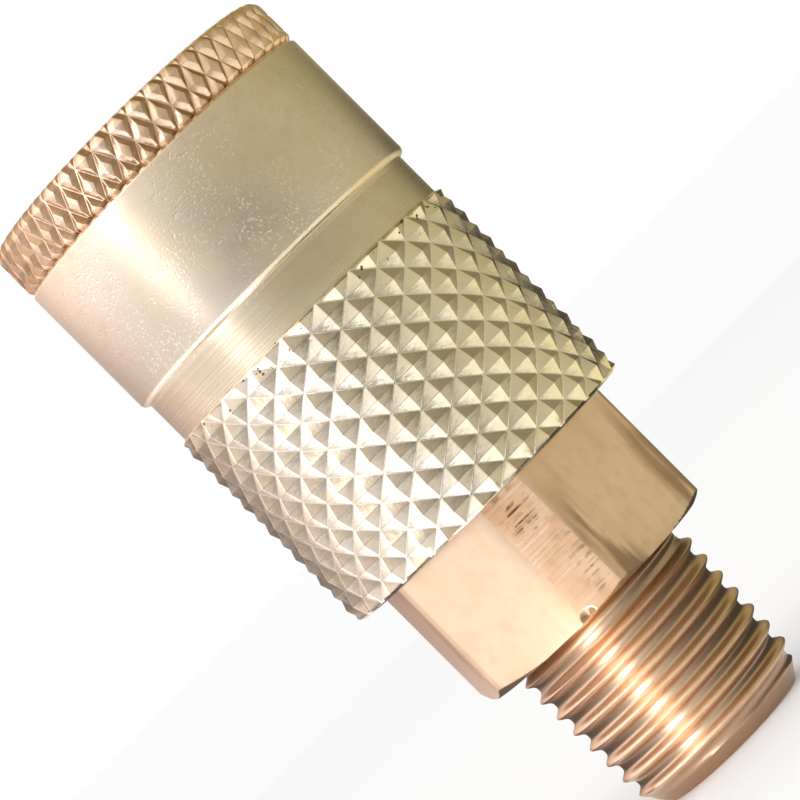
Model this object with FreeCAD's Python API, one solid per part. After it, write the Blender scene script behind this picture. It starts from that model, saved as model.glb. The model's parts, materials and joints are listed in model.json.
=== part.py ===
import FreeCAD, Part
import math
import os

# Pneumatic quick coupling, socket half, in millimetres with +Z up.
# The end of the pipe thread stands on Z = 0 and the socket opens upward.

# Pipe thread stub, 1/4-18 NPT
thread_length = 12.25
thread_end_diameter = 13.26
thread_taper = 1.0 / 16.0
thread_chamfer = 1.2
passage_diameter = 7.2

# Wrench hex
hex_across_flats = 17.46
hex_length = 11.5
hex_chamfer = 0.55
hex_corner_angle = -82.3
ground_flat_rise = 0.28
ground_flat_angle = -97.1

# Plug that the socket takes: bore for its collar, seal for its nose
bore_diameter = 12.0
plug_nose_diameter = 7.9
mouth_widening = 0.3
mouth_depth = 5.0
mouth_chamfer = 0.7

# Walls and spaces outward from the bore
barrel_wall = 2.3
spring_space = 1.85
skirt_wall = 0.85

# Coarse pyramid knurl on the sleeve
knurl_count = 24
knurl_turn = -0.5
knurl_rows = 7
knurl_pitch = 2.245
knurl_depth = 0.4
knurl_bevel = 0.5

# Sleeve along its axis
skirt_overlap = 2.25
groove_length = 3.05
groove_depth = 0.45
band_length = 9.88
band_round = 0.5
band_chamfer = 0.2
sleeve_travel = 3.2
land_length = 2.85

# Knurled nose ring of the barrel
nose_width = 3.45
nose_count = 46
nose_pitch = 2.8
nose_depth = 0.3
nose_flat = 0.48
nose_rear_bevel = 0.3
nose_front_bevel = 0.65

# Locking balls
ball_diameter = 3.175
ball_count = 6
ball_play = 0.08
cam_play = 0.05
pocket_clearance = 0.05
release_clearance = 0.1
ball_cover = 0.6

# Seal stack under the socket
socket_below_ball = 7.6
seal_height = 3.0
seal_squeeze = 0.15
seal_lip = 0.6
seat_height = 1.5
seat_clearance = 0.05

# Joint between adapter and barrel
cavity_wall = 1.3
spigot_clearance = 0.05
o_ring_section = 0.9
o_ring_height = 2.5
o_ring_play = 0.02
o_ring_side = 0.25

# Valve
chamber_depth = 6.0
guide_wall = 1.55
head_wall = 1.05
guide_clearance = 0.1
valve_travel = 4.0
valve_margin = 0.5
valve_lap = 1.0
washer_height = 1.5
head_height = 1.4
hub_radius = 2.2
fin_clearance = 0.5
fin_width = 1.3
fin_height = 3.8
leg_wall = 0.8
leg_width = 2.6
valve_wire = 0.7
valve_turns = 4.5
valve_coil_clearance = 0.2

# Sleeve spring and the washer under it
washer_thickness = 0.8
washer_clearance = 0.1
coil_clearance = 0.325
sleeve_turns = 4.5
skirt_clearance = 0.2
slide_clearance = 0.05
wire_sides = 6

# Radii that follow from the bore
bore_radius = bore_diameter / 2
mouth_radius = bore_radius + mouth_widening
barrel_radius = bore_radius + barrel_wall
skirt_radius = barrel_radius + spring_space
knurl_root = skirt_radius + skirt_wall
sleeve_radius = knurl_root + knurl_depth
groove_radius = sleeve_radius - groove_depth
land_radius = barrel_radius + slide_clearance
hex_corner_radius = skirt_radius - skirt_clearance
cavity_radius = barrel_radius - cavity_wall
spigot_radius = cavity_radius - spigot_clearance
guide_radius = spigot_radius - guide_wall
chamber_radius = spigot_radius - head_wall
passage_radius = passage_diameter / 2
seat_radius = plug_nose_diameter / 2 + seat_clearance
seal_radius = plug_nose_diameter / 2 - seal_squeeze
head_radius = seat_radius + valve_lap
fin_radius = seat_radius - fin_clearance
leg_radius = guide_radius - guide_clearance

# Locking balls and the cone in the sleeve that lets them rise
ball_radius = ball_diameter / 2
ball_centre_radius = land_radius - ball_radius - ball_play
ball_grip = bore_radius - (ball_centre_radius - ball_radius)
ball_lift = ball_grip + release_clearance
cam_slope = ball_lift / sleeve_travel
cam_normal = math.hypot(1.0, cam_slope)
cam_lead = ((ball_radius + cam_play) * cam_normal - ball_radius - ball_play) / cam_slope
relief_radius = ball_centre_radius + ball_lift + ball_radius + release_clearance

# Heights
hex_bottom = thread_length
hex_top = hex_bottom + hex_length
sleeve_bottom = hex_top - skirt_overlap
knurl_top = sleeve_bottom + knurl_rows * knurl_pitch
band_bottom = knurl_top + groove_length
sleeve_top = band_bottom + band_length
nose_top = sleeve_top + nose_width
mouth_floor = nose_top - mouth_depth
ball_height = sleeve_top - sleeve_travel - ball_radius - ball_cover
cam_bottom = ball_height - cam_lead
cam_top = cam_bottom + (relief_radius - land_radius) / cam_slope
spring_shoulder = cam_bottom - land_length
socket_floor = ball_height - socket_below_ball
seat_top = socket_floor - seal_height
spigot_top = seat_top - seat_height
head_top = spigot_top - washer_height
head_bottom = head_top - head_height
chamber_floor = hex_top - chamber_depth
leg_bottom = chamber_floor + valve_travel + valve_margin
spring_foot = hex_top + washer_thickness
o_ring_centre = hex_top + o_ring_height


def at(radius, height, angle=0.0):
    """Point at a radius, height and angle in degrees about the axis."""
    turn = math.radians(angle)
    return FreeCAD.Vector(radius * math.cos(turn), radius * math.sin(turn), height)


def turned(corners):
    """Solid of revolution from (radius, height) corners; a third value rounds that corner."""
    edges = []
    ends = []
    for index, corner in enumerate(corners):
        here = at(corner[0], corner[1])
        if len(corner) == 2:
            ends.append((here, here))
            continue
        before = at(*corners[index - 1][:2]) - here
        after = at(*corners[(index + 1) % len(corners)][:2]) - here
        before.normalize()
        after.normalize()
        half = before.getAngle(after) / 2
        reach = corner[2] / math.tan(half)
        inward = before + after
        inward.normalize()
        start = here + before * reach
        middle = here + inward * (corner[2] / math.sin(half) - corner[2])
        end = here + after * reach
        edges.append(Part.Arc(start, middle, end).toShape())
        ends.append((start, end))
    for index, pair in enumerate(ends):
        edges.append(Part.LineSegment(ends[index - 1][1], pair[0]).toShape())
    wire = Part.Wire(Part.__sortEdges__(edges))
    return Part.Face(wire).revolve(FreeCAD.Vector(), FreeCAD.Vector(0, 0, 1), 360)


def rod(radius, bottom, top):
    """Plain cylinder on the axis."""
    return Part.makeCylinder(radius, top - bottom, at(0, bottom))


def ring(inner, outer, bottom, top):
    """Plain ring on the axis."""
    return turned([(inner, bottom), (outer, bottom), (outer, top), (inner, top)])


def knurled_rod(count, turn, pitch, crest, root, flat, first, rows):
    """Rod covered with diamonds: pyramids, or flat tops where flat is above zero."""
    half = pitch / 2
    step = 180.0 / count

    def spot(radius, column, row):
        return at(radius, first + row * half, (column + turn) * step)

    triangles = []

    def patch(*points):
        for index in range(1, len(points) - 1):
            triangles.append((points[0], points[index], points[index + 1]))

    for row in range(1, rows):
        for column in range(row % 2, 2 * count, 2):
            base = [(1, 0), (0, 1), (-1, 0), (0, -1)]
            feet = [spot(root, column + across, row + along) for across, along in base]
            tips = [spot(crest, column + flat * across, row + flat * along) for across, along in base]
            for side in range(4):
                follow = (side + 1) % 4
                if flat:
                    patch(feet[side], feet[follow], tips[follow], tips[side])
                else:
                    patch(feet[side], feet[follow], tips[0])
            if flat:
                patch(*tips)
    for row, inside, facing in ((0, 1, 1), (rows, rows - 1, -1)):
        for column in range((row + 1) % 2, 2 * count, 2):
            edge = [spot(root, column, row), spot(root, column + 2, row)][::facing]
            patch(edge[0], edge[1], spot(root, column + 1, inside))
            patch(edge[1], edge[0], spot(0, 0, row))
    shell = Part.makeShell([Part.Face(Part.makePolygon([a, b, c, a])) for a, b, c in triangles])
    shell.sewShape()
    solid = Part.makeSolid(shell.Shells[0] if shell.ShapeType != "Shell" else shell)
    if solid.Volume < 0:
        solid.reverse()
    return solid


def coil(mean_radius, wire, turns, bottom, top):
    """Compression spring with both ends ground flat; its wire has flat sides for a light mesh."""
    length = top - bottom
    helix = Part.makeHelix(length / turns, length + 2 * wire, mean_radius)
    outline = []
    for side in range(wire_sides + 1):
        corner = at(wire / 2, 0, 360.0 * (side + 0.5) / wire_sides)
        outline.append(FreeCAD.Vector(mean_radius + corner.x, 0, corner.y))
    section = Part.Wire(Part.makePolygon(outline))
    spring = Part.Wire(helix).makePipeShell([section], True, True)
    spring.translate(at(0, bottom - wire))
    return spring.common(rod(mean_radius + 2 * wire, bottom, top))


def make_hex_adapter():
    end_radius = thread_end_diameter / 2
    top_radius = end_radius + thread_length * thread_taper / 2
    chamfer_radius = end_radius + thread_chamfer * thread_taper / 2
    stub = turned(
        [
            (0, 0),
            (end_radius - thread_chamfer, 0),
            (chamfer_radius, thread_chamfer),
            (top_radius, hex_bottom),
            (0, hex_bottom),
        ]
    )
    blank = turned(
        [
            (0, hex_bottom),
            (hex_corner_radius - 2 * hex_chamfer, hex_bottom),
            (hex_corner_radius, hex_bottom + hex_chamfer),
            (hex_corner_radius, hex_top),
            (0, hex_top),
        ]
    )
    corner = hex_across_flats / math.sqrt(3.0)
    outline = [at(corner, hex_bottom, hex_corner_angle + 60.0 * side) for side in range(7)]
    prism = Part.Face(Part.makePolygon(outline)).extrude(FreeCAD.Vector(0, 0, hex_length))
    hexagon = prism.common(blank)
    face = hex_across_flats / 2 + ground_flat_rise
    grinder = Part.makeBox(corner, 4 * corner, hex_length, FreeCAD.Vector(face, -2 * corner, hex_bottom))
    grinder.rotate(FreeCAD.Vector(), FreeCAD.Vector(0, 0, 1), ground_flat_angle)
    hexagon = hexagon.cut(grinder)
    spigot = rod(spigot_radius, hex_top, spigot_top)
    groove_half = o_ring_section / 2 + o_ring_side
    groove_floor = cavity_radius - o_ring_section - 2 * o_ring_play
    groove = ring(groove_floor, spigot_radius + 1, o_ring_centre - groove_half, o_ring_centre + groove_half)
    bore = rod(passage_radius, 0, chamber_floor)
    guide = rod(guide_radius, chamber_floor, spigot_top)
    widening = rod(chamber_radius, head_bottom - valve_margin, spigot_top)
    adapter = stub.fuse([hexagon, spigot]).cut(groove).cut([bore, guide, widening])
    return adapter.removeSplitter()


def make_barrel():
    stock_radius = sleeve_radius + nose_depth
    nose_root = sleeve_radius - nose_depth
    blank = turned(
        [
            (cavity_radius, hex_top),
            (barrel_radius, hex_top),
            (barrel_radius, sleeve_top),
            (stock_radius - 2 * nose_rear_bevel, sleeve_top),
            (stock_radius, sleeve_top + 2 * nose_rear_bevel),
            (stock_radius, nose_top - nose_front_bevel - nose_depth),
            (stock_radius - nose_front_bevel - nose_depth, nose_top),
            (mouth_radius + mouth_chamfer, nose_top),
            (mouth_radius, nose_top - mouth_chamfer),
            (mouth_radius, mouth_floor),
            (bore_radius, mouth_floor - mouth_widening),
            (bore_radius, socket_floor),
            (cavity_radius, socket_floor),
        ]
    )
    first = sleeve_top - nose_pitch / 2
    rows = math.ceil(2 * nose_width / nose_pitch) + 2
    wheel = knurled_rod(nose_count, 0, nose_pitch, sleeve_radius, nose_root, nose_flat, first, rows)
    stock = ring(barrel_radius + 1, stock_radius + 1, sleeve_top, nose_top)
    barrel = blank.cut(stock.cut(wheel))
    for index in range(ball_count):
        barrel = barrel.cut(make_ball_pocket(360.0 * index / ball_count))
    return barrel


def make_ball_pocket(angle):
    radius = ball_radius + pocket_clearance
    centre = at(ball_centre_radius, ball_height, angle)
    seat = Part.makeSphere(radius, centre)
    hole = Part.makeCylinder(radius, barrel_wall + 1, centre, at(1, 0, angle))
    return seat.fuse(hole)


def make_sleeve():
    stock_radius = sleeve_radius + knurl_depth / 2
    edge_radius = knurl_root - knurl_depth / 4
    core_radius = (knurl_root + skirt_radius) / 2
    blank = turned(
        [
            (skirt_radius, sleeve_bottom),
            (edge_radius, sleeve_bottom),
            (stock_radius, sleeve_bottom + knurl_bevel * (stock_radius - edge_radius)),
            (stock_radius, knurl_top - knurl_bevel * (stock_radius - groove_radius)),
            (groove_radius, knurl_top),
            (groove_radius, band_bottom),
            (sleeve_radius, band_bottom, band_round * groove_depth),
            (sleeve_radius, sleeve_top - band_chamfer),
            (sleeve_radius - band_chamfer, sleeve_top),
            (relief_radius, sleeve_top),
            (relief_radius, cam_top),
            (land_radius, cam_bottom),
            (land_radius, spring_shoulder),
            (skirt_radius, spring_shoulder),
        ]
    )
    first = sleeve_bottom - knurl_pitch
    rows = 2 * knurl_rows + 4
    wheel = knurled_rod(knurl_count, knurl_turn, knurl_pitch, sleeve_radius, knurl_root, 0, first, rows)
    stock = ring(core_radius, stock_radius + 1, sleeve_bottom, knurl_top)
    return blank.cut(stock.cut(wheel))


def make_ball(angle):
    return Part.makeSphere(ball_radius, at(ball_centre_radius, ball_height, angle))


def make_sleeve_spring():
    wire = spring_space - 2 * coil_clearance
    mean = barrel_radius + spring_space / 2
    return coil(mean, wire, sleeve_turns, spring_foot, spring_shoulder)


def make_spring_washer():
    return ring(barrel_radius + washer_clearance, skirt_radius - skirt_clearance, hex_top, spring_foot)


def make_plug_seal():
    return turned(
        [
            (seal_radius, seat_top),
            (spigot_radius, seat_top),
            (spigot_radius, socket_floor),
            (seal_radius + seal_lip, socket_floor),
            (seal_radius, socket_floor - seal_lip),
        ]
    )


def make_valve_seat():
    return ring(seat_radius, spigot_radius, spigot_top, seat_top)


def make_o_ring():
    section = o_ring_section / 2
    return Part.makeTorus(cavity_radius - o_ring_play - section, section, at(0, o_ring_centre))


def make_valve_washer():
    return ring(hub_radius, head_radius, head_top, spigot_top)


def make_valve_poppet():
    head = rod(head_radius, head_bottom, head_top)
    hub = rod(hub_radius, head_top, spigot_top)
    fins = rod(hub_radius / 2, spigot_top, spigot_top + fin_height)
    for turn in (0, 90):
        corner = FreeCAD.Vector(-fin_radius, -fin_width / 2, spigot_top)
        fin = Part.makeBox(2 * fin_radius, fin_width, fin_height, corner)
        fin.rotate(FreeCAD.Vector(), FreeCAD.Vector(0, 0, 1), turn)
        fins = fins.fuse(fin)
    fins = fins.common(rod(fin_radius, spigot_top, spigot_top + fin_height))
    tube = ring(leg_radius - leg_wall, leg_radius, leg_bottom, head_bottom)
    crossing = []
    for turn in (0, 90):
        corner = FreeCAD.Vector(-leg_radius, -leg_width / 2, leg_bottom)
        leg = Part.makeBox(2 * leg_radius, leg_width, head_bottom - leg_bottom, corner)
        leg.rotate(FreeCAD.Vector(), FreeCAD.Vector(0, 0, 1), turn)
        crossing.append(leg)
    legs = tube.common(crossing[0].fuse(crossing[1]))
    return head.fuse([hub, fins, legs]).removeSplitter()


def make_valve_spring():
    outer = leg_radius - leg_wall - valve_coil_clearance
    return coil(outer - valve_wire / 2, valve_wire, valve_turns, chamber_floor, head_bottom)


pieces = {
    "hex_adapter": make_hex_adapter(),
    "barrel": make_barrel(),
    "sleeve": make_sleeve(),
    "sleeve_spring": make_sleeve_spring(),
    "spring_washer": make_spring_washer(),
    "plug_seal": make_plug_seal(),
    "valve_seat": make_valve_seat(),
    "body_o_ring": make_o_ring(),
    "valve_poppet": make_valve_poppet(),
    "valve_washer": make_valve_washer(),
    "valve_spring": make_valve_spring(),
}
for index in range(ball_count):
    pieces["lock_ball_%d" % (index + 1)] = make_ball(360.0 * index / ball_count)

os.makedirs("parts", exist_ok=True)
for name, shape in pieces.items():
    shape.exportStep("parts/" + name + ".step")
    print(name, "%.1f mm3" % shape.Volume, len(shape.Solids), "solid", shape.isValid(), len(shape.Faces))
print("height %.2f, sleeve diameter %.2f, ball lift %.4f" % (nose_top, 2 * sleeve_radius, ball_lift))
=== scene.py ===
# %% [markdown]
# # A pneumatic quick coupling
# The CAD frame gives every solid its place. Here the pieces that show get
# their fine form and finish: a helical pipe thread, knurls with softened edges,
# ground marks on the hex, and metal that looks turned and handled.

# %% Load the frame
import json
import math
import random

import bmesh
import bpy
from mathutils import Matrix, Vector


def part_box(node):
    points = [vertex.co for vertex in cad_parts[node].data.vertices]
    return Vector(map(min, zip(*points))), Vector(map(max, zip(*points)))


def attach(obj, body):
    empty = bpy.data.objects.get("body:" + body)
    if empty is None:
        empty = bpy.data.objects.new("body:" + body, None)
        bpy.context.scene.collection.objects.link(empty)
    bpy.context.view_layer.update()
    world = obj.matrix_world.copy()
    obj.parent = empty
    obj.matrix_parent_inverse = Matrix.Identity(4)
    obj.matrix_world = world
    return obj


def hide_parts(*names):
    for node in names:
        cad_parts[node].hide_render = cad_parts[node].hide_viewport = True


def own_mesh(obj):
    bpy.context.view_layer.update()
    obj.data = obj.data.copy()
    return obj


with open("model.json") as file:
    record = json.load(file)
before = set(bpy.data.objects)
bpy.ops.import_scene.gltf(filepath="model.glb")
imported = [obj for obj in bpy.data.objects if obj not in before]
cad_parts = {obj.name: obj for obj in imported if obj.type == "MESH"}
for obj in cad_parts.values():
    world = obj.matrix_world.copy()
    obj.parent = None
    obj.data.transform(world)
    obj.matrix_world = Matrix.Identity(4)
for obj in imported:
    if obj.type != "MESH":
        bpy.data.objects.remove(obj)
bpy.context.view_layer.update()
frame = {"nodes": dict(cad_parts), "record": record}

MM = 0.001
MM_PER_M = 1000.0
chance = random.Random(7)

# %% [markdown]
# ## Sizes
# Heights come from the frame's own boxes, so the pieces made here meet the
# solids that stay. They are kept in millimetres, which is how a fitting like
# this is drawn, and turned into metres when a mesh is finished.


# %% Read the heights
def heights_of(node):
    """Lowest and highest point of a CAD node in millimetres."""
    low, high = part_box(node)
    return low[2] / MM, high[2] / MM


sleeve_bottom, sleeve_top = heights_of("sleeve")
hex_top, nose_top = heights_of("barrel")
spigot_top = heights_of("hex_adapter")[1]
spring_foot, spring_head = heights_of("sleeve_spring")
chamber_floor, poppet_head = heights_of("valve_spring")
socket_floor = heights_of("plug_seal")[1]
ball_height = sum(heights_of("lock_ball_1")) / 2
sleeve_radius = 11.4
knurl_pitch = 2.245
knurl_rows = 7
knurl_top = sleeve_bottom + knurl_rows * knurl_pitch
hex_length = 11.5
hex_bottom = hex_top - hex_length
thread_taper = 1 / 32
print("sleeve from %.2f to %.2f mm, nose at %.2f mm" % (sleeve_bottom, sleeve_top, nose_top))

# %% [markdown]
# ## Node helpers
# The finishes below are built from small pieces of node code. These helpers
# keep each of them short: one adds a node, one does arithmetic, one mixes.


# %% Node helpers
def put(tree, kind, **settings):
    """Adds a shader node and sets its own properties."""
    node = tree.nodes.new(kind)
    for name, value in settings.items():
        setattr(node, name, value)
    return node


def feed(tree, value, socket):
    """Links a socket, or sets a plain number or colour."""
    if isinstance(value, (int, float)):
        socket.default_value = value
    elif isinstance(value, tuple):
        socket.default_value = value + (1.0,)
    else:
        tree.links.new(value, socket)


def compute(tree, operation, first, second=0.0, clamp=False):
    """A Math node fed by sockets or plain numbers."""
    node = put(tree, "ShaderNodeMath", operation=operation, use_clamp=clamp)
    feed(tree, first, node.inputs[0])
    feed(tree, second, node.inputs[1])
    return node.outputs[0]


def mix(tree, kind, share, first, second):
    """Mixes two colours (kind RGBA) or two values (kind VALUE) by a mask."""
    node = put(tree, "ShaderNodeMix", data_type="RGBA" if kind == "RGBA" else "FLOAT")
    feed(tree, share, node.inputs["Factor"])
    for name, value in (("A", first), ("B", second)):
        feed(tree, value, next(s for s in node.inputs if s.name == name and s.type == kind))
    return next(s for s in node.outputs if s.type == kind)


def new_group(name, inputs, output):
    """An empty shader group with named float inputs and one float output."""
    tree = bpy.data.node_groups.new(name, "ShaderNodeTree")
    for label, value in inputs.items():
        socket = tree.interface.new_socket(label, in_out="INPUT", socket_type="NodeSocketFloat")
        socket.default_value = value
    tree.interface.new_socket(output, in_out="OUTPUT", socket_type="NodeSocketFloat")
    return tree, put(tree, "NodeGroupInput").outputs, put(tree, "NodeGroupOutput").inputs


def place_of(tree):
    """The object's own coordinates, split into X, Y and Z."""
    split = put(tree, "ShaderNodeSeparateXYZ")
    feed(tree, put(tree, "ShaderNodeTexCoord").outputs["Object"], split.inputs[0])
    return split.outputs


print("node helpers ready")

# %% [markdown]
# ## Marks that several finishes share
# A lathe leaves fine rings, a drawn bar has fine lines along it, plating has
# tiny pits, and handling leaves soft smears. A painted picture could carry
# them, but noise in the object's own coordinates needs no unwrapping and keeps
# its scale in millimetres. Each is one group whose inputs set how fine it is,
# so brass and steel can use the same ones.


# %% Turning marks
def turning_group():
    """Height of fine rings round the axis, a little uneven, as a lathe tool leaves them."""
    tree, given, result = new_group("turning_marks", {"Fineness": 8.0}, "Height")
    place = place_of(tree)
    wobble = put(tree, "ShaderNodeTexNoise")
    wobble.inputs["Scale"].default_value = 160.0
    feed(tree, put(tree, "ShaderNodeTexCoord").outputs["Object"], wobble.inputs["Vector"])
    drift = compute(tree, "MULTIPLY", wobble.outputs["Fac"], 0.00012)
    along = compute(tree, "MULTIPLY", compute(tree, "ADD", place["Z"], drift), MM_PER_M)
    rings = put(tree, "ShaderNodeTexNoise", noise_dimensions="1D")
    rings.inputs["Scale"].default_value = 1.0
    rings.inputs["Detail"].default_value = 3.0
    feed(tree, compute(tree, "MULTIPLY", along, given["Fineness"]), rings.inputs["W"])
    feed(tree, rings.outputs["Fac"], result["Height"])
    return tree


turning_marks = turning_group()
print("group", turning_marks.name, "made")


# %% Drawn lines
def drawn_group():
    """Height of fine lines along the axis, as on drawn bar."""
    tree, given, result = new_group("drawn_lines", {"Fineness": 6.0, "Stretch": 0.04}, "Height")
    place = place_of(tree)
    joined = put(tree, "ShaderNodeCombineXYZ")
    dense = compute(tree, "MULTIPLY", given["Fineness"], MM_PER_M)
    sparse = compute(tree, "MULTIPLY", dense, given["Stretch"])
    for label, scale in (("X", dense), ("Y", dense), ("Z", sparse)):
        feed(tree, compute(tree, "MULTIPLY", place[label], scale), joined.inputs[label])
    lines = put(tree, "ShaderNodeTexNoise")
    lines.inputs["Scale"].default_value = 1.0
    lines.inputs["Detail"].default_value = 2.0
    feed(tree, joined.outputs[0], lines.inputs["Vector"])
    feed(tree, lines.outputs["Fac"], result["Height"])
    return tree


drawn_lines = drawn_group()
print("group", drawn_lines.name, "made")


# %% Smears and pits
def noise_mask_group(name, detail):
    """Noise cut at a level: large soft smears or small sharp pits, with their size in millimetres."""
    tree, given, result = new_group(name, {"Size": 2.0, "Level": 0.5, "Softness": 0.1}, "Mask")
    noise = put(tree, "ShaderNodeTexNoise")
    noise.inputs["Detail"].default_value = detail
    feed(tree, put(tree, "ShaderNodeTexCoord").outputs["Object"], noise.inputs["Vector"])
    feed(tree, compute(tree, "DIVIDE", MM_PER_M, given["Size"]), noise.inputs["Scale"])
    above = compute(tree, "SUBTRACT", noise.outputs["Fac"], given["Level"])
    feed(tree, compute(tree, "DIVIDE", above, given["Softness"], clamp=True), result["Mask"])
    return tree


smears = noise_mask_group("handling_smears", 4.0)
pits = noise_mask_group("small_pits", 1.0)
print("groups", smears.name, "and", pits.name, "made")


# %% Zone along the axis
def zone_group():
    """Mask that is 1 between two heights in millimetres and fades outside them."""
    tree, given, result = new_group("axis_zone", {"Low": 0.0, "High": 1.0, "Fade": 0.3}, "Mask")
    along = compute(tree, "MULTIPLY", place_of(tree)["Z"], MM_PER_M)
    over = compute(tree, "SUBTRACT", along, given["Low"])
    under = compute(tree, "SUBTRACT", given["High"], along)
    rise = compute(tree, "DIVIDE", over, given["Fade"], clamp=True)
    fall = compute(tree, "DIVIDE", under, given["Fade"], clamp=True)
    feed(tree, compute(tree, "MULTIPLY", rise, fall), result["Mask"])
    return tree


axis_zone = zone_group()
print("group", axis_zone.name, "made")


# %% Spot on a surface
def spot_group():
    """Mask that fades from 1 at a point, in millimetres, to 0 at a reach across and along the axis."""
    inputs = {"X": 0.0, "Y": 0.0, "Z": 0.0, "Across": 1.0, "Along": 1.0}
    tree, given, result = new_group("surface_spot", inputs, "Mask")
    place = place_of(tree)
    squares = []
    for label, reach in (("X", "Across"), ("Y", "Across"), ("Z", "Along")):
        here = compute(tree, "MULTIPLY", place[label], MM_PER_M)
        offset = compute(tree, "SUBTRACT", here, given[label])
        share = compute(tree, "DIVIDE", offset, given[reach])
        squares.append(compute(tree, "POWER", compute(tree, "ABSOLUTE", share), 2.0))
    total = compute(tree, "ADD", compute(tree, "ADD", squares[0], squares[1]), squares[2])
    near = compute(tree, "SUBTRACT", 1.0, compute(tree, "SQRT", total))
    feed(tree, compute(tree, "MULTIPLY", near, 2.0, clamp=True), result["Mask"])
    return tree


surface_spot = spot_group()
print("group", surface_spot.name, "made")


# %% Depth below a taper
def taper_group():
    """Mask that is 0 on a tapered crest and 1 at a depth below it, all in millimetres."""
    inputs = {"Radius": 6.6, "Taper": 0.03, "Depth": 0.5}
    tree, given, result = new_group("depth_below_taper", inputs, "Mask")
    place = place_of(tree)
    first = compute(tree, "POWER", place["X"], 2.0)
    second = compute(tree, "POWER", place["Y"], 2.0)
    reach = compute(tree, "SQRT", compute(tree, "ADD", first, second))
    reach = compute(tree, "MULTIPLY", reach, MM_PER_M)
    along = compute(tree, "MULTIPLY", place["Z"], MM_PER_M)
    grown = compute(tree, "MULTIPLY", along, given["Taper"])
    crest = compute(tree, "ADD", given["Radius"], grown)
    below = compute(tree, "SUBTRACT", crest, reach)
    feed(tree, compute(tree, "DIVIDE", below, given["Depth"], clamp=True), result["Mask"])
    return tree


depth_below_taper = taper_group()
print("group", depth_below_taper.name, "made")

# %% [markdown]
# ## How a finish is built
# Brass and plated steel are bare metal, so the colour is in the reflection:
# Metallic is 1, and the look comes from the base colour, how rough it is, and
# how the marks tilt the surface. A finish is built up in layers: stains change
# colour and roughness, reliefs add to one bump height. Writing every node by
# hand would take far longer to read.


# %% Finish builder
class Finish:
    """A material that is built up layer by layer."""

    def __init__(self, name, colour, rough):
        self.material = bpy.data.materials.new(name)
        self.material.use_nodes = True
        self.tree = self.material.node_tree
        self.colour = colour
        self.rough = rough
        self.height = None

    def mask(self, group, **values):
        """The output of a shared group with its inputs set."""
        node = put(self.tree, "ShaderNodeGroup", node_tree=group)
        for name, value in values.items():
            node.inputs[name].default_value = value
        return node.outputs[0]

    def both(self, first, second):
        """The product of two masks, or of a mask and a number."""
        return compute(self.tree, "MULTIPLY", first, second)

    def cut(self, value, level, softness):
        """A value sharpened into a mask: 0 below a level, 1 a little above it."""
        above = compute(self.tree, "SUBTRACT", value, level)
        return compute(self.tree, "DIVIDE", above, softness, clamp=True)

    def stain(self, mask, colour, rough):
        """Another colour and roughness where the mask is 1."""
        self.colour = mix(self.tree, "RGBA", mask, self.colour, colour)
        self.rough = mix(self.tree, "VALUE", mask, self.rough, rough)

    def relief(self, height, depth):
        """A height, scaled to a depth in millimetres, added to the bump."""
        part = compute(self.tree, "MULTIPLY", height, depth)
        self.height = part if self.height is None else compute(self.tree, "ADD", self.height, part)

    def done(self, metallic=1.0):
        """Wires the layers into the shader and gives the material back."""
        shader = self.tree.nodes["Principled BSDF"]
        shader.inputs["Metallic"].default_value = metallic
        feed(self.tree, self.colour, shader.inputs["Base Color"])
        feed(self.tree, self.rough, shader.inputs["Roughness"])
        bump = put(self.tree, "ShaderNodeBump")
        bump.inputs["Distance"].default_value = MM
        feed(self.tree, self.height, bump.inputs["Height"])
        feed(self.tree, bump.outputs["Normal"], shader.inputs["Normal"])
        return self.material


print("finish builder ready")

# %% [markdown]
# ## Plated steel
# The sleeve's plating is a warm grey with a yellow cast. The smooth band is
# peppered with tiny pits, the groove keeps its turning lines and is painted
# darker than the band as shade in the recess, and the knurl is clean except for
# dark flecks at the edge next to the groove. One flank of each pyramid gets a
# darker copy of the plating, painted shade, and the other a lighter copy,
# painted light, so the knurl has two finishes.

# %% Band and groove
finish = Finish("plated_band", (0.80, 0.69, 0.55), 0.25)
finish.stain(finish.mask(smears, Size=4.0, Level=0.42, Softness=0.3), (0.74, 0.62, 0.45), 0.33)
handled = finish.mask(smears, Size=5.0, Level=0.38, Softness=0.3)
speckle = finish.both(finish.mask(pits, Size=0.2, Level=0.565, Softness=0.15), handled)
mottled = finish.mask(smears, Size=0.8, Level=0.52, Softness=0.2)
finish.stain(finish.both(mottled, 0.4), (0.62, 0.53, 0.40), 0.36)
finish.stain(finish.both(speckle, 0.45), (0.92, 0.87, 0.78), 0.22)
finish.relief(finish.mask(turning_marks, Fineness=9.0), 0.002)
finish.relief(speckle, -0.013)
plated_band = finish.done()
# The groove's plating is darker than the band's: painted shade in the recess.
finish = Finish("plated_groove", (0.74, 0.63, 0.47), 0.26)
finish.stain(finish.mask(smears, Size=3.0, Level=0.42, Softness=0.3), (0.62, 0.50, 0.34), 0.34)
finish.relief(finish.mask(turning_marks, Fineness=5.0), 0.012)
lathe_edge = finish.mask(axis_zone, Low=knurl_top - 1, High=knurl_top + 1.3, Fade=0.7)
finish.relief(finish.both(finish.mask(turning_marks, Fineness=8.0), lathe_edge), 0.016)
plated_groove = finish.done()
print("band and groove finished")


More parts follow.
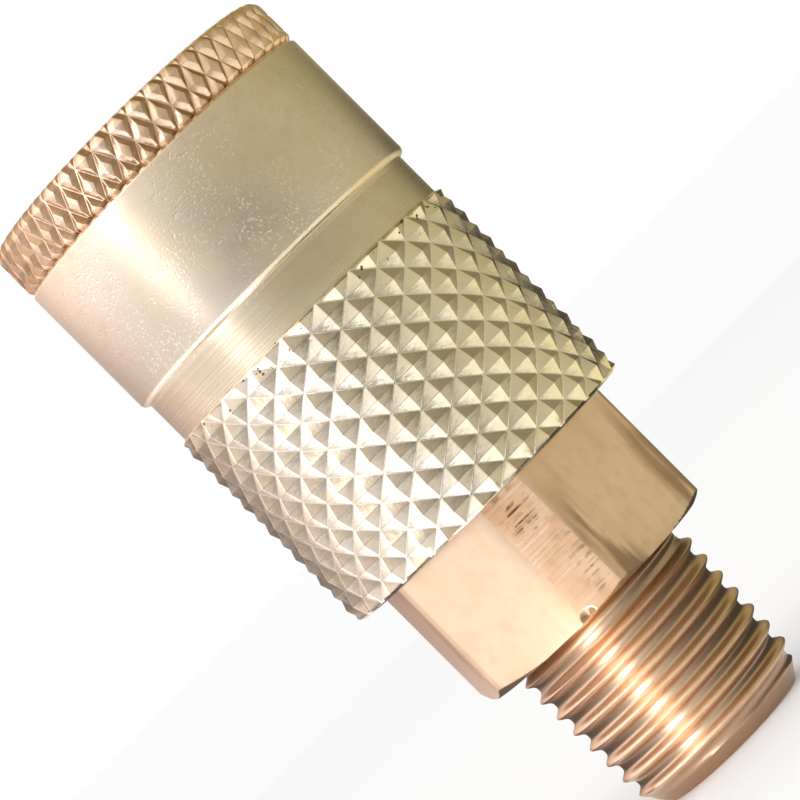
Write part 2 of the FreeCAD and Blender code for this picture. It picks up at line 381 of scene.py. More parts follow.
# %% Knurl
def knurl_finish(name, colour, smeared, rough):
    """The plating on one flank of the knurl's grooves, with dark flecks at the front edge. It is
    called twice: a lighter copy for painted light and a darker copy for painted shade.
    """
    finish = Finish(name, colour, rough)
    finish.stain(finish.mask(smears, Size=2.5, Level=0.45, Softness=0.3), smeared, rough + 0.08)
    edge_zone = finish.mask(axis_zone, Low=knurl_top - 1.6, High=knurl_top + 1, Fade=0.8)
    flecks = finish.both(finish.mask(pits, Size=0.45, Level=0.7, Softness=0.04), edge_zone)
    finish.stain(flecks, (0.14, 0.09, 0.05), 0.5)
    finish.relief(finish.mask(smears, Size=0.5, Level=0.3, Softness=0.5), 0.012)
    finish.relief(flecks, -0.03)
    return finish.done()


# The lighter copy is painted light. The darker copy, for the flanks facing anticlockwise, is painted
# shade.
knurl_plating_lit = knurl_finish("knurl_plating_lit", (0.92, 0.83, 0.68), (0.84, 0.72, 0.55), 0.18)
knurl_plating_shaded = knurl_finish("knurl_plating_shaded", (0.48, 0.41, 0.305), (0.42, 0.345, 0.25), 0.22)
print("knurl in two finishes")

# %% [markdown]
# ## Brass
# The body is free-cutting brass. The hex still has the drawn lines and brown
# stains of the bar, and one corner has been ground and shows the marks across
# it. The thread is redder, with painted shade darkening its roots. The nose ring
# is turned, and one flank of each groove of its knurl has a darker copy of the
# brass, painted shade.

# %% Hex bar
brass = (0.82, 0.60, 0.42)
finish = Finish("brass_hex_bar", brass, 0.28)
finish.stain(finish.mask(smears, Size=3.5, Level=0.42, Softness=0.3), (0.78, 0.55, 0.36), 0.33)
mottled = finish.mask(smears, Size=0.9, Level=0.5, Softness=0.2)
finish.stain(finish.both(mottled, 0.4), (0.66, 0.45, 0.27), 0.35)
streaks = finish.cut(finish.mask(drawn_lines, Fineness=0.5, Stretch=0.2), 0.5, 0.12)
patches = finish.mask(smears, Size=6.0, Level=0.45, Softness=0.2)
finish.stain(finish.both(finish.both(streaks, patches), 0.45), (0.52, 0.34, 0.19), 0.46)
brown = (0.30, 0.19, 0.10)
ragged = finish.cut(finish.mask(drawn_lines, Fineness=0.8, Stretch=0.14), 0.4, 0.12)
for x, y, z, across, along in (
    (2.9, -8.9, 1.2, 2.0, 7.0),
    (8.7, -3.8, 3.0, 1.6, 7.0),
    (-8.4, -4.0, 6.0, 1.6, 5.0),
    (-1.6, 8.9, 3.0, 1.4, 6.0),
):
    here = finish.mask(surface_spot, X=x, Y=y, Z=hex_bottom + z, Across=across, Along=along)
    finish.stain(finish.both(finish.both(here, ragged), 0.7), brown, 0.5)
finish.relief(finish.mask(drawn_lines, Fineness=4.0, Stretch=0.03), 0.006)
finish.relief(finish.mask(smears, Size=4.0, Level=0.3, Softness=0.5), 0.012)
brass_hex = finish.done()
print("hex bar finished")

# %% Ground flat
finish = Finish("brass_ground_flat", (0.88, 0.60, 0.40), 0.32)
finish.stain(finish.mask(smears, Size=2.4, Level=0.46, Softness=0.2), (0.70, 0.44, 0.26), 0.4)
scores = finish.cut(finish.mask(turning_marks, Fineness=3.4), 0.46, 0.14)
cuts = finish.both(scores, finish.mask(smears, Size=0.7, Level=0.42, Softness=0.15))
ground_depth = -9.1
for x, z, across, along, dark in (
    (0.5, 7.2, 1.5, 1.7, 1.0),
    (1.4, 3.8, 1.1, 2.6, 0.6),
    (1.2, 1.5, 1.0, 1.4, 0.7),
    (0.2, 9.0, 1.5, 1.2, 0.5),
):
    here = finish.mask(surface_spot, X=x, Y=ground_depth, Z=hex_bottom + z, Across=across, Along=along)
    finish.stain(finish.both(finish.both(here, cuts), dark), (0.16, 0.09, 0.05), 0.5)
finish.relief(finish.mask(turning_marks, Fineness=4.0), 0.012)
brass_ground = finish.done()
print("ground flat finished")

# %% Thread
finish = Finish("brass_thread", (0.86, 0.62, 0.45), 0.35)
finish.stain(finish.mask(smears, Size=1.6, Level=0.45, Softness=0.25), (0.76, 0.52, 0.34), 0.4)
# Painted shade: the roots of the thread are darker and a little smoother.
root_shade = finish.mask(depth_below_taper, Radius=6.42, Taper=thread_taper, Depth=0.4)
finish.stain(root_shade, (0.54, 0.37, 0.25), 0.3)
finish.relief(finish.mask(turning_marks, Fineness=9.0), 0.002)
brass_thread = finish.done()
print("thread finished")


# %% Nose ring and inside
def nose_finish(name, colour, smeared, rough):
    """Brass on the nose ring, with uneven smears from handling."""
    finish = Finish(name, colour, rough)
    finish.stain(finish.mask(smears, Size=1.2, Level=0.45, Softness=0.25), smeared, rough + 0.08)
    finish.relief(finish.mask(smears, Size=0.5, Level=0.3, Softness=0.5), 0.02)
    return finish.done()


brass_nose = nose_finish("brass_nose_ring", (0.82, 0.60, 0.44), (0.70, 0.48, 0.31), 0.28)
# A darker copy of the nose ring's brass for one flank of the knurl's grooves: painted shade.
brass_nose_shaded = nose_finish("brass_nose_shaded_flank", (0.40, 0.26, 0.16), (0.32, 0.19, 0.10), 0.4)
finish = Finish("brass_inside", brass, 0.26)
finish.stain(finish.mask(smears, Size=2.0, Level=0.5, Softness=0.3), (0.74, 0.48, 0.28), 0.36)
finish.relief(finish.mask(turning_marks, Fineness=7.0), 0.004)
brass_inside = finish.done()
print("brass in six finishes")

# %% [markdown]
# ## Springs, balls and seals
# Spring wire has a dull, uneven grey skin. The balls are polished and hard. The
# seals are black moulded rubber, which is no metal: a faint grain and a dusty
# bloom keep it from looking like paint.

# %% Small parts' finishes
finish = Finish("spring_wire", (0.56, 0.55, 0.53), 0.3)
finish.stain(finish.mask(smears, Size=2.0, Level=0.45, Softness=0.3), (0.44, 0.42, 0.39), 0.4)
finish.relief(finish.mask(smears, Size=0.3, Level=0.3, Softness=0.5), 0.004)
spring_wire = finish.done()
finish = Finish("ball_steel", (0.78, 0.78, 0.77), 0.08)
finish.stain(finish.mask(smears, Size=1.5, Level=0.5, Softness=0.3), (0.70, 0.69, 0.67), 0.16)
finish.relief(finish.mask(smears, Size=0.3, Level=0.3, Softness=0.5), 0.0008)
ball_steel = finish.done()
finish = Finish("seal_rubber", (0.018, 0.018, 0.018), 0.5)
finish.stain(finish.mask(smears, Size=1.5, Level=0.45, Softness=0.3), (0.05, 0.048, 0.045), 0.7)
finish.relief(finish.mask(pits, Size=0.12, Level=0.45, Softness=0.3), 0.004)
seal_rubber = finish.done(metallic=0.0)
print("wire, balls and rubber finished")

# %% [markdown]
# ## Turned surfaces
# A turned piece is a profile swept once round the axis. A Screw modifier could
# sweep it, but rings made in code can give each stretch a finish of its own.
# Corners given with a radius are rounded first, because a real edge always
# catches a line of light.


# %% Lathe helpers
def on_axis(radius, angle, height):
    """A point from its distance to the axis, its bearing and its height."""
    return Vector((radius * math.cos(angle), radius * math.sin(angle), height))


def rounded(corners, steps=5):
    """Points of an outline whose third value rounds a corner."""
    points = []
    for index, corner in enumerate(corners):
        here = Vector(corner[:2])
        if len(corner) == 2:
            points.append(here)
            continue
        before = (Vector(corners[index - 1][:2]) - here).normalized()
        after = (Vector(corners[index + 1][:2]) - here).normalized()
        half = before.angle(after) / 2
        centre = here + (before + after).normalized() * corner[2] / math.sin(half)
        start = here + before * corner[2] / math.tan(half) - centre
        end = here + after * corner[2] / math.tan(half) - centre
        for step in range(steps + 1):
            points.append(centre + start.slerp(end, step / steps) * corner[2])
    return points


def skin(bm, rings, slot=0):
    """Joins neighbouring closed rings of vertices with smooth quads."""
    for low, high in zip(rings, rings[1:]):
        for side in range(len(low)):
            after = (side + 1) % len(low)
            face = bm.faces.new((low[side], low[after], high[after], high[side]))
            face.smooth = True
            face.material_index = slot


def turn(bm, corners, sides=192, slot=0):
    """Sweeps an outline of (radius, height) in millimetres round the axis."""
    rings = []
    for radius, height in rounded(corners):
        spots = [on_axis(radius, 2 * math.pi * side / sides, height) for side in range(sides)]
        rings.append([bm.verts.new(spot) for spot in spots])
    skin(bm, rings, slot)


def add_piece(name, bm, materials, body, node):
    """Turns a millimetre bmesh into a piece that stands for a CAD node."""
    bmesh.ops.scale(bm, vec=(MM, MM, MM), verts=bm.verts)
    mesh = bpy.data.meshes.new(name)
    bm.to_mesh(mesh)
    bm.free()
    mesh.set_sharp_from_angle(angle=math.radians(35))
    piece = bpy.data.objects.new(name, mesh)
    bpy.context.scene.collection.objects.link(piece)
    for material in materials:
        mesh.materials.append(material)
    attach(piece, body)
    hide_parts(node)
    print(name, "has", len(mesh.polygons), "faces")
    return piece


print("lathe helpers ready")

# %% [markdown]
# ## Knurls
# On the real part a roller presses two sets of crossing grooves, which leave a
# diamond at every crossing. A bump in the material could show them, but at
# this size they are seen in the outline, so they are geometry. The facets are
# laid out one by one on a lattice, then every edge is cut back a little, so
# the groove bottoms show as thin bright lines and no tip is razor sharp.


# %% Diamonds
def diamonds(count, turned, pitch, crest, root, flat, first, rows, soft, stray):
    """Bmesh of a knurled wall: pyramids, or flat tops where flat is above zero.

    There are count of them round the axis. The lowest row starts at the height first. Edges are
    cut back by soft, and stray is how uneven the tips are.
    """
    bm = bmesh.new()
    feet = {}
    around = ((1, 0), (0, 1), (-1, 0), (0, -1))

    def spot(radius, column, row):
        return on_axis(radius, math.pi * (column + turned) / count, first + row * pitch / 2)

    def foot(column, row):
        key = (column % (2 * count), row)
        if key not in feet:
            feet[key] = bm.verts.new(spot(root, *key))
        return feet[key]

    for row in range(1, rows):
        for column in range(row % 2, 2 * count, 2):
            base = [foot(column + across, row + along) for across, along in around]
            rise = crest - abs(chance.gauss(0, stray))
            lean = chance.gauss(0, stray), chance.gauss(0, stray)
            if flat:
                tips = [bm.verts.new(spot(rise, column + flat * a, row + flat * b)) for a, b in around]
                bm.faces.new(tips)
            else:
                tips = [bm.verts.new(spot(rise, column + lean[0], row + lean[1]))] * 4
            for side in range(4):
                after = (side + 1) % 4
                outline = [base[side], base[after], tips[after], tips[side]]
                bm.faces.new(outline if flat else outline[:3])
    edges = [edge for edge in bm.edges if len(edge.link_faces) == 2]
    bmesh.ops.bevel(
        bm, geom=edges, offset=soft, segments=1, profile=0.5, affect="EDGES", clamp_overlap=True
    )
    return bm


print("knurl helper ready")


# %% Trimming a knurl
def slice_at(bm, height, **choice):
    """Cuts every face that crosses a height."""
    everything = bm.verts[:] + bm.edges[:] + bm.faces[:]
    bmesh.ops.bisect_plane(bm, geom=everything, plane_co=(0, 0, height), plane_no=(0, 0, 1), **choice)


def trim(bm, bottom, top, cuts, shape, lips):
    """Cuts a knurled wall to length, shapes its ends, and closes each end towards a lip radius."""
    slice_at(bm, bottom, clear_inner=True)
    slice_at(bm, top, clear_outer=True)
    for cut in cuts:
        slice_at(bm, bottom + cut)
        slice_at(bm, top - cut)
    for vert in bm.verts:
        radius = math.hypot(vert.co.x, vert.co.y)
        share = shape(radius, vert.co.z) / radius
        vert.co.x *= share
        vert.co.y *= share
    for height, lip in zip((bottom, top), lips):
        rim = []
        for edge in bm.edges:
            if edge.is_boundary and all(abs(vert.co.z - height) < 1e-4 for vert in edge.verts):
                rim.append(edge)
        made = bmesh.ops.extrude_edge_only(bm, edges=rim)["geom"]
        for vert in (item for item in made if isinstance(item, bmesh.types.BMVert)):
            share = lip / math.hypot(vert.co.x, vert.co.y)
            vert.co.x *= share
            vert.co.y *= share


def shade_flanks(bm, slot, shade_slot):
    """Gives the flanks that face anticlockwise round the axis a slot of their own, for a darker copy
    of the finish that paints shade.
    """
    bm.normal_update()
    for face in bm.faces:
        centre = face.calc_center_median()
        across = Vector((-centre.y, centre.x, 0)).normalized()
        if face.material_index == slot and face.normal.dot(across) > 0.1:
            face.material_index = shade_slot


def add_mesh(bm, other, slot):
    """Adds a second bmesh to the first and gives it a material slot."""
    for face in other.faces:
        face.material_index = slot
    spare = bpy.data.meshes.new("spare")
    other.to_mesh(spare)
    other.free()
    bm.from_mesh(spare)
    bpy.data.meshes.remove(spare)


print("trimming helpers ready")

# %% [markdown]
# ## The sleeve
# The sleeve has a smooth band at the front, a shallow groove with plain
# turning marks, then the wide knurl that the fingers pull. Inside it has the
# cone that lets the balls rise, a land, and a skirt over the spring. All of
# it but the knurl is round, so one outline swept round the axis makes it.

# %% Sleeve sizes
knurl_root = sleeve_radius - 0.4
groove_radius = sleeve_radius - 0.45
band_bottom = knurl_top + 3.05
shoulder_foot = band_bottom - 0.3
front_chamfer = 0.2
relief_radius = 9.375
relief_end = sleeve_top - 2.2
land_radius = 8.35
land_top = sleeve_top - 5.54
skirt_radius = 10.15
skirt_edge = knurl_root - 0.1
blank_slope = 2.0
print("knurl up to %.2f mm, band from %.2f mm" % (knurl_top, band_bottom))


# %% Sleeve
def sleeve_shape(radius, height):
    """The turned blank cuts the pyramids off near both ends of the knurl."""
    rear = skirt_edge + blank_slope * (height - sleeve_bottom)
    front = groove_radius + blank_slope * (knurl_top - height)
    return min(radius, rear, front)


knurl = diamonds(
    count=24,
    turned=-0.5,
    pitch=knurl_pitch,
    crest=sleeve_radius + 0.02,
    root=knurl_root,
    flat=0,
    first=sleeve_bottom - knurl_pitch,
    rows=18,
    soft=0.05,
    stray=0.012,
)
cuts = [0.1, 0.2, 0.3, 0.4, 0.5]
trim(knurl, sleeve_bottom, knurl_top, cuts, sleeve_shape, (skirt_edge, groove_radius))
bm = bmesh.new()
turn(bm, [(groove_radius, knurl_top), (groove_radius, shoulder_foot)], slot=1)
turn(
    bm,
    [
        (groove_radius, shoulder_foot),
        (groove_radius, band_bottom),
        (sleeve_radius, band_bottom, 0.44),
        (sleeve_radius, sleeve_top - front_chamfer, 0.12),
        (sleeve_radius - front_chamfer, sleeve_top, 0.08),
        (relief_radius, sleeve_top),
        (relief_radius, relief_end),
        (land_radius, land_top),
        (land_radius, spring_head),
        (skirt_radius, spring_head),
        (skirt_radius, sleeve_bottom),
        (skirt_edge, sleeve_bottom),
    ],
)
add_mesh(bm, knurl, 2)
# The flanks facing anticlockwise take the darker copy of the plating: painted shade.
shade_flanks(bm, 2, 3)
finishes = [plated_band, plated_groove, knurl_plating_lit, knurl_plating_shaded]
add_piece("sleeve_shell", bm, finishes, "sleeve", "sleeve")

# %% [markdown]
# ## The barrel and its nose ring
# The barrel is the tube that takes the plug. Its front end is a ring with a
# finer, flat-topped knurl that runs out over the rounded front edge. Six round
# pockets hold the locking balls. Working out their edges on the round wall by
# hand would be long, so they are cut with a boolean, as a drill would.

# %% Nose ring
barrel_radius = 8.3
mouth_radius = 6.3
mouth_chamfer = 0.7
nose_round = 0.75
rear_bevel = 0.3
rear_lip = 10.3
face_lip = 10.2
ring_pitch = 2.8


def nose_shape(radius, height):
    """The knurl follows the bevel at the back and the round at the front."""
    drop = max(0.0, rear_bevel - (height - sleeve_top))
    over = height - (nose_top - nose_round)
    if over > 0:
        drop = nose_round - math.sqrt(max(0.0, nose_round**2 - over**2))
    return radius - drop


ring = diamonds(
    count=46,
    turned=0,
    pitch=ring_pitch,
    crest=sleeve_radius,
    root=sleeve_radius - 0.3,
    flat=0.48,
    first=sleeve_top - ring_pitch / 2,
    rows=6,
    soft=0.04,
    stray=0.008,
)
cuts = [0.1, 0.2, 0.3, 0.4, 0.5, 0.6, 0.7]
trim(ring, sleeve_top, nose_top, cuts, nose_shape, (rear_lip, face_lip))
nose = bmesh.new()
turn(nose, [(barrel_radius - 0.1, sleeve_top), (rear_lip, sleeve_top)], slot=1)
turn(
    nose,
    [
        (face_lip, nose_top),
        (mouth_radius + mouth_chamfer, nose_top, 0.1),
        (mouth_radius, nose_top - mouth_chamfer, 0.1),
        (mouth_radius, sleeve_top),
    ],
    slot=1,
)
add_mesh(nose, ring, 0)
# The flanks of the nose knurl that face anticlockwise take the darker brass: painted shade.
shade_flanks(nose, 0, 2)
print("nose ring has", len(nose.faces), "faces")


# %% Barrel tube
def solid_of(name, outline, sides):
    """A plain object swept from a closed outline, used only for cutting."""
    bm = bmesh.new()
    turn(bm, outline + outline[:1], sides)
    bmesh.ops.remove_doubles(bm, verts=bm.verts, dist=1e-5)
    mesh = bpy.data.meshes.new(name)
    bm.to_mesh(mesh)
    bm.free()
    blank = bpy.data.objects.new(name, mesh)
    bpy.context.scene.collection.objects.link(blank)
    return blank


bore_radius = 6.0
cavity_radius = 7.0
tube_top = sleeve_top + 0.5
tube = solid_of(
    "tube_blank",
    [
        (cavity_radius, hex_top),
        (barrel_radius, hex_top),
        (barrel_radius, tube_top),
        (mouth_radius, tube_top),
        (mouth_radius, nose_top - 5.0),
        (bore_radius, nose_top - 5.3),
        (bore_radius, socket_floor),
        (cavity_radius, socket_floor),
    ],
    96,
)
print("tube runs from %.2f to %.2f mm" % (hex_top, tube_top))

# %% Ball pockets
pocket_radius = 1.6375
pocket_reach = 6.6825
pocket_length = 4.0
tip = 0.0001
round_steps = 8
bullet = [(tip, -pocket_radius)]
for step in range(1, round_steps + 1):
    lean = math.radians(90 * step / round_steps)
    bullet.append((pocket_radius * math.sin(lean), -pocket_radius * math.cos(lean)))
bullet += [(pocket_radius, pocket_length), (tip, pocket_length)]
moved_out = Matrix.Translation((pocket_reach, 0, ball_height))
laid_down = Matrix.Rotation(math.pi / 2, 4, "Y")
cutters = []
for index in range(6):
    cutter = solid_of("pocket_cutter", bullet, 32)
    cutter.matrix_world = Matrix.Rotation(math.pi / 3 * index, 4, "Z") @ moved_out @ laid_down
    cut = tube.modifiers.new("pocket", "BOOLEAN")
    cut.operation = "DIFFERENCE"
    cut.object = cutter
    cutters.append(cutter)
bpy.context.view_layer.update()
drilled = tube.evaluated_get(bpy.context.evaluated_depsgraph_get()).to_mesh()
bm = bmesh.new()
bm.from_mesh(drilled)
for face in bm.faces:
    face.smooth = True
add_mesh(nose, bm, 1)
for blank in [tube] + cutters:
    bpy.data.objects.remove(blank)
add_piece("barrel_body", nose, [brass_nose, brass_inside, brass_nose_shaded], "body", "barrel")

# %% [markdown]
# ## The hex
# The adapter is turned from hexagonal brass bar. A six-sided cylinder with
# bevels could stand for it, but its outline is taken here as the nearest of
# the flats in each direction: the same rule then gives the curved chamfer at
# the end, the extra flat ground on one corner, and the small nick beside it.

# %% Hex outline
flat_distance = 8.73
first_corner = -82.3
corner_radius = 9.95
end_radius = 8.85
chamfer_slope = 2.0
edge_power = 120
ground_distance = 8.975
ground_angle = math.radians(-97.6)
nick_angle = math.radians(-95.6)
nick_arm = 9.0
nick_size = 0.6
nick_depth = 0.5
hex_flats = [(flat_distance, math.radians(first_corner + 30 + 60 * side)) for side in range(6)]
hex_flats.append((ground_distance, ground_angle))


def hex_radius(angle, height):
    """Distance from the axis to the hex in a direction, with soft edges and one nick at the end."""
    reach = 0.0
    for distance, facing in hex_flats:
        lean = math.cos(angle - facing) / distance
        if lean > 0:
            reach += lean**edge_power
    above = height - hex_bottom
    radius = min(reach ** (-1 / edge_power), corner_radius, end_radius + chamfer_slope * above)
    turned_off = (angle - nick_angle + math.pi) % (2 * math.pi) - math.pi
    away = math.hypot(turned_off * nick_arm, 1.2 * (above - 0.15))
    return radius - nick_depth * max(0.0, 1.0 - away / nick_size)


print("hex has", len(hex_flats), "flats")

# %% Hex faces
hex_sides = 720
neck_radius = 6.25
spigot_radius = 6.95
end_levels = [0.06 * step for step in range(14)]
levels = end_levels + [1.1, 3.5, 6.5, 9.5, hex_top - hex_bottom]
outline = [(neck_radius, hex_bottom)]
outline += [(None, hex_bottom + level) for level in levels]
outline.append((spigot_radius, hex_top))
bm = bmesh.new()
rings = []
for radius, height in outline:
    ring = []
    for side in range(hex_sides):
        angle = 2 * math.pi * side / hex_sides
        ring.append(bm.verts.new(on_axis(radius or hex_radius(angle, height), angle, height)))
    rings.append(ring)
skin(bm, rings)
bm.normal_update()
ground_facing = Vector((math.cos(ground_angle), math.sin(ground_angle), 0))
for face in bm.faces:
    if face.normal.dot(ground_facing) > 0.997:
        face.material_index = 2
print("hex has", len(bm.faces), "faces")

# %% Spigot and bore
guide_radius = 5.9
guide_floor = poppet_head - 0.5
chamber_radius = 5.4
passage_radius = 3.6
passage_chamfer = 0.4
end_face_radius = 5.43
turn(
    bm,
    [
        (spigot_radius, hex_top),
        (spigot_radius, spigot_top),
        (guide_radius, spigot_top),
        (guide_radius, guide_floor),
        (chamber_radius, guide_floor),
        (chamber_radius, chamber_floor),
        (passage_radius, chamber_floor),
        (passage_radius, passage_chamfer),
        (passage_radius + passage_chamfer, 0.0),
        (end_face_radius, 0.0),
    ],
    sides=96,
    slot=1,
)
print("spigot up to %.2f mm" % spigot_top)

# %% [markdown]
# ## The pipe thread
# The thread is a helix on a taper. A Screw modifier could sweep one tooth, but
# here every point is worked out: the rows of the mesh follow the helix, so
# crests and roots stay clean, and the taper, the chamfer at the end and the
# run-out at the hex are part of the same rule.

# %% Thread profile
thread_pitch = 25.4 / 18
thread_depth = 0.56
thread_radius = 6.63
thread_start = 0.1
runout_start = 1.0
runout_length = 0.9
end_slope = 0.75
thread_sides = 144
profile_steps = 14
profile = []
for step in range(profile_steps):
    wave = 0.5 - 0.5 * math.cos(2 * math.pi * step / profile_steps)
    profile.append((step / profile_steps, wave**2))


def thread_spot(turns, rise, angle):
    """A point of the thread, cut by the end chamfer and run out at the hex."""
    height = thread_pitch * (turns + angle / (2 * math.pi)) + thread_start
    height = min(max(height, 0.0), hex_bottom)
    radius = thread_radius + thread_taper * height - thread_depth * (1 - rise)
    runout = min(1.0, max(0.0, (height - hex_bottom + runout_start) / runout_length))
    radius = radius * (1 - runout) + neck_radius * runout
    return on_axis(min(radius, end_face_radius + end_slope * height), angle, height)


print("thread pitch %.3f mm" % thread_pitch)

# %% Thread faces
angles = [2 * math.pi * side / thread_sides for side in range(thread_sides)]
grid = []
for whole in range(-2, 10):
    for share, rise in profile:
        grid.append([bm.verts.new(thread_spot(whole + share, rise, angle)) for angle in angles])
for index in range(len(grid) - 1 - profile_steps):
    for side in range(thread_sides):
        after = (side + 1) % thread_sides
        over = profile_steps if after == 0 else 0
        low = (grid[index][side], grid[index + over][after])
        high = (grid[index + 1 + over][after], grid[index + 1][side])
        face = bm.faces.new(low + high)
        face.smooth = True
        face.material_index = 1
bmesh.ops.dissolve_degenerate(bm, dist=0.0005, edges=bm.edges)
finishes = [brass_hex, brass_thread, brass_ground]
add_piece("hex_adapter_body", bm, finishes, "body", "hex_adapter")

# %% [markdown]
# ## Springs
# Each spring is a round wire on a helix. A bevelled curve could make it, but a
# mesh has its wire ends closed flat and takes the same finish code. A spring
# shortens when its joint moves, so its mesh is squashed along the axis towards
# its fixed end by the same share as the real coil.


# %% Springs
def spring(name, node, radius, wire, turns, low, high):
    """A coil of round wire between two heights, with its wire ends closed flat."""
    bm = bmesh.new()
    steps = int(turns * 48)
    wire_sides = 12
    rings = []
    for step in range(steps + 1):
        angle = 2 * math.pi * turns * step / steps
        centre = low + wire / 2 + (high - low - wire) * step / steps
        ring = []
        for side in range(wire_sides):
            lean = -2 * math.pi * side / wire_sides
            reach = radius + wire / 2 * math.cos(lean)
            ring.append(bm.verts.new(on_axis(reach, angle, centre + wire / 2 * math.sin(lean))))
        rings.append(ring)
    skin(bm, rings)
    bm.faces.new(rings[0][::-1])
    bm.faces.new(rings[-1])
    piece = add_piece(name, bm, [spring_wire], "body", node)
    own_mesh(piece)


spring(
    "sleeve_coil",
    "sleeve_spring",
    radius=9.225,
    wire=1.2,
    turns=4.5,
    low=spring_foot,
    high=spring_head,
)
spring(
    "valve_coil",
    "valve_spring",
    radius=3.95,
    wire=0.7,
    turns=4.5,
    low=chamber_floor,
    high=poppet_head,
)

# %% [markdown]
# ## Pieces whose CAD form is right
# The balls, the seals, the seat and the valve keep their CAD meshes. They only
# take the finish that their material slot calls for.

# %% Finish the CAD pieces
finishes = {"brass": brass_inside, "plated_steel": plated_band, "spring_steel": spring_wire}
finishes.update({"ball_steel": ball_steel, "seal_rubber": seal_rubber})
for entry in frame["record"]["subparts"]:
    node = frame["nodes"][entry["node"]]
    node.data.materials.clear()
    node.data.materials.append(finishes[entry["material_slot"]])

# %% [markdown]
# ## Stage
# A white floor and white surroundings make the plain ground of a catalogue
# picture. Metal shows what is round it, and an even white would leave it flat,
# so a light tent stands outside the picture, where only reflections see it. It
# is bright on the left and low down, grey in front, and dark on the right, with
# two upright bright strips. One tall lamp gives the long highlight.


# %% Floor and surroundings
def stage_piece(name, points, faces):
    """A mesh that belongs to the stage and not to the coupling."""
    mesh = bpy.data.meshes.new(name)
    mesh.from_pydata(points, [], faces)
    piece = bpy.data.objects.new(name, mesh)
    bpy.context.scene.collection.objects.link(piece)
    return piece


scene = bpy.context.scene
scene.view_settings.view_transform = "Standard"
world = bpy.data.worlds.new("white_studio")
world.use_nodes = True
world.node_tree.nodes["Background"].inputs["Color"].default_value = (1.0, 1.0, 1.0, 1.0)
world.node_tree.nodes["Background"].inputs["Strength"].default_value = 1.0
world.cycles.sampling_method = "NONE"
scene.world = world
floor = stage_piece("floor", [(-2, -2, 0), (2, -2, 0), (2, 2, 0), (-2, 2, 0)], [(0, 1, 2, 3)])
floor_paint = bpy.data.materials.new("floor_paint")
floor_paint.use_nodes = True
paint = floor_paint.node_tree.nodes["Principled BSDF"].inputs
paint["Base Color"].default_value = (0.98, 0.98, 0.98, 1.0)
paint["Roughness"].default_value = 1.0
floor.data.materials.append(floor_paint)
print("floor and world set")

# %% Tent brightness
# One row each for a low collar close to the thread, the floor, the wall at the coupling's height
# and the roof. Each goes from behind over the left, the front and the right to behind again, with
# a value at every step in degrees.
tent_step = 30
tent_rows = [
    [0.1, 0.12, 0.15, 0.28, 0.6, 1.1, 0.9, 0.34, 0.14, 0.1, 0.08, 0.08, 0.1],
    [0.9, 1.2, 1.6, 1.85, 1.85, 1.6, 1.35, 1.2, 1.1, 1.0, 0.95, 0.8, 0.9],
    [0.45, 0.42, 0.72, 0.84, 0.66, 0.6, 0.21, 0.36, 0.56, 0.6, 0.5, 0.1, 0.45],
    [0.9, 1.2, 1.75, 2.0, 1.85, 1.3, 1.1, 0.76, 0.62, 0.54, 0.44, 0.38, 0.8],
]
# Bearing and half width in degrees of two bright strips and of a dimmer patch.
collar_strip = (151, 7)
collar_gain = 7.0
upper_strip = (134, 9)
upper_gain = 1.2
upper_start = 2.06
dim_patch = (327, 18)
dim_share = 0.5
# Warmth takes out blue and a little green. Blush takes out green and a little blue.
row_warmth = [0.5, 1.8, 1.0, 1.8]
tent_warmth = [0.4, 0.3, 0.2, 0.0, 0.0, 0.0, 0.2, 0.35, 0.45, 0.6, 0.7, 0.8, 0.4]
tent_blush = [0.5, 1.0, 0.8, 0.4, 0.2, 0.1, 0.0, 0.0, 0.0, 0.0, 0.0, 0.0, 0.5]
print("tent brightness in", len(tent_rows), "rows")

# %% Tent form
# Radius and height in metres, and the place along the rows above.
tent_rings = [
    (0.010, 0.0006, 0.0),
    (0.027, 0.0006, 0.0),
    (0.028, 0.009, 0.0),
    (0.030, 0.0006, 1.0),
    (0.120, 0.0006, 1.0),
    (0.250, 0.0006, 1.9),
    (0.400, 0.0006, 2.0),
    (0.400, 0.030, 2.0),
    (0.400, 0.048, 2.12),
    (0.400, 0.060, 2.2),
    (0.400, 0.100, 2.7),
    (0.400, 0.200, 3.0),
    (0.300, 0.450, 3.0),
    (0.010, 0.550, 3.0),
]
print("tent has", len(tent_rings), "rings")


# %% Tent colour
def hump(turned, facing, width):
    """1 at a bearing, falling off to both sides of it."""
    return math.exp(-(((turned - facing) / width) ** 2))


def tent_colour(turned, level):
    """Colour of the tent at a bearing in degrees from behind and a level along its rows."""
    spot = turned / tent_step
    whole = min(int(spot), len(tent_warmth) - 2)

    def between(values):
        return values[whole] + (values[whole + 1] - values[whole]) * (spot - whole)

    row = min(int(level), len(tent_rows) - 2)
    share = level - row
    bright = between(tent_rows[row]) * (1 - share) + between(tent_rows[row + 1]) * share
    collar_share = max(0.0, 1 - level)
    upper_share = max(0.0, min(1.0, 6 * (level - upper_start)))
    bright += collar_gain * collar_share * hump(turned, *collar_strip)
    bright += upper_gain * upper_share * hump(turned, *upper_strip)
    if 2.0 <= level < 2.15:
        bright *= 1 - dim_share * hump(turned, *dim_patch)
    warmth = between(tent_warmth) * (row_warmth[row] * (1 - share) + row_warmth[row + 1] * share)
    blush = between(tent_blush)
    cool = max(0.0, 1.0 - abs(level - 1.0))
    green = 1 - 0.1 * warmth - 0.14 * blush + 0.04 * cool
    blue = 1 - 0.45 * warmth - 0.06 * blush + 0.12 * cool
    return [bright, bright * green, bright * blue, 1.0]


print("collar in front:", tent_colour(180, 0.0))

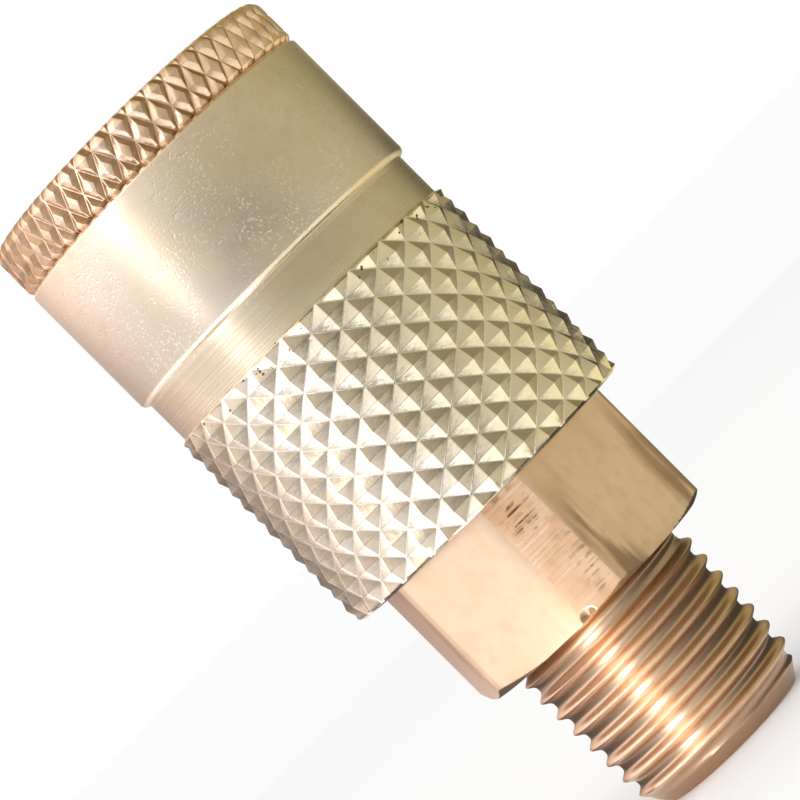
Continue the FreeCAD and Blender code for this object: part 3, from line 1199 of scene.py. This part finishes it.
# %% Light tent
bearings = 72
points = []
colours = []
for radius, height, level in tent_rings:
    for step in range(bearings):
        angle = 2 * math.pi * step / bearings + math.pi / 2
        points.append((radius * math.cos(angle), radius * math.sin(angle), height))
        colours.append(tent_colour(360 * step / bearings, level))
faces = []
for ring in range(len(tent_rings) - 1):
    for step in range(bearings):
        after = (step + 1) % bearings
        low, high = ring * bearings, (ring + 1) * bearings
        faces.append((low + step, low + after, high + after, high + step))
tent = stage_piece("light_tent", points, faces)
shade = tent.data.color_attributes.new("shade", "FLOAT_COLOR", "POINT")
for item, colour in zip(shade.data, colours):
    item.color = colour
tent_cloth = bpy.data.materials.new("tent_cloth")
tent_cloth.use_nodes = True
tent_cloth.cycles.emission_sampling = "NONE"
tree = tent_cloth.node_tree
tree.nodes.remove(tree.nodes["Principled BSDF"])
glow = put(tree, "ShaderNodeEmission")
painted = put(tree, "ShaderNodeVertexColor", layer_name="shade")
feed(tree, painted.outputs["Color"], glow.inputs["Color"])
feed(tree, glow.outputs[0], tree.nodes["Material Output"].inputs["Surface"])
tent.data.materials.append(tent_cloth)
tent.visible_camera = False
tent.visible_shadow = False
tent.visible_diffuse = False
print("light tent has", len(faces), "faces")

# %% [markdown]
# ## Lamp and camera
# The lamp stands to the left of the camera, upright like the coupling, so that
# its reflection is a line along it. The camera looks level from the front with
# a long lens. It is rolled by 45 degrees, which is simpler than tilting the
# coupling, because the frame stays as it is.

# %% Tall lamp
lamp_bearing = math.radians(47)
lamp_away = 0.35
lamp_height = 0.13
light = bpy.data.lights.new("tall_lamp", "AREA")
light.shape = "RECTANGLE"
light.size = 0.05
light.size_y = 0.2
light.energy = 0.055
lamp = bpy.data.objects.new("tall_lamp", light)
lamp_left = lamp_away * math.sin(lamp_bearing)
lamp_front = lamp_away * math.cos(lamp_bearing)
lamp.location = (-lamp_left, -lamp_front, lamp_height)
aim = Vector((0, 0, lamp_height)) - lamp.location
lamp.rotation_euler = aim.to_track_quat("-Z", "Y").to_euler()
lamp.visible_camera = False
scene.collection.objects.link(lamp)
print("lamp stands", lamp_away, "m from the axis")

# %% Camera
camera_spot = (0.00025, -0.242, 0.02955)
lens = bpy.data.cameras.new("portrait_lens")
lens.lens = 175.0
lens.sensor_width = 36.0
lens.clip_start = 0.01
camera = bpy.data.objects.new("portrait_camera", lens)
upright = Matrix.Rotation(math.radians(90), 4, "X")
roll = Matrix.Rotation(math.radians(-45), 4, "Z")
camera.matrix_world = Matrix.Translation(camera_spot) @ upright @ roll
scene.collection.objects.link(camera)
scene.camera = camera
print("camera placed")
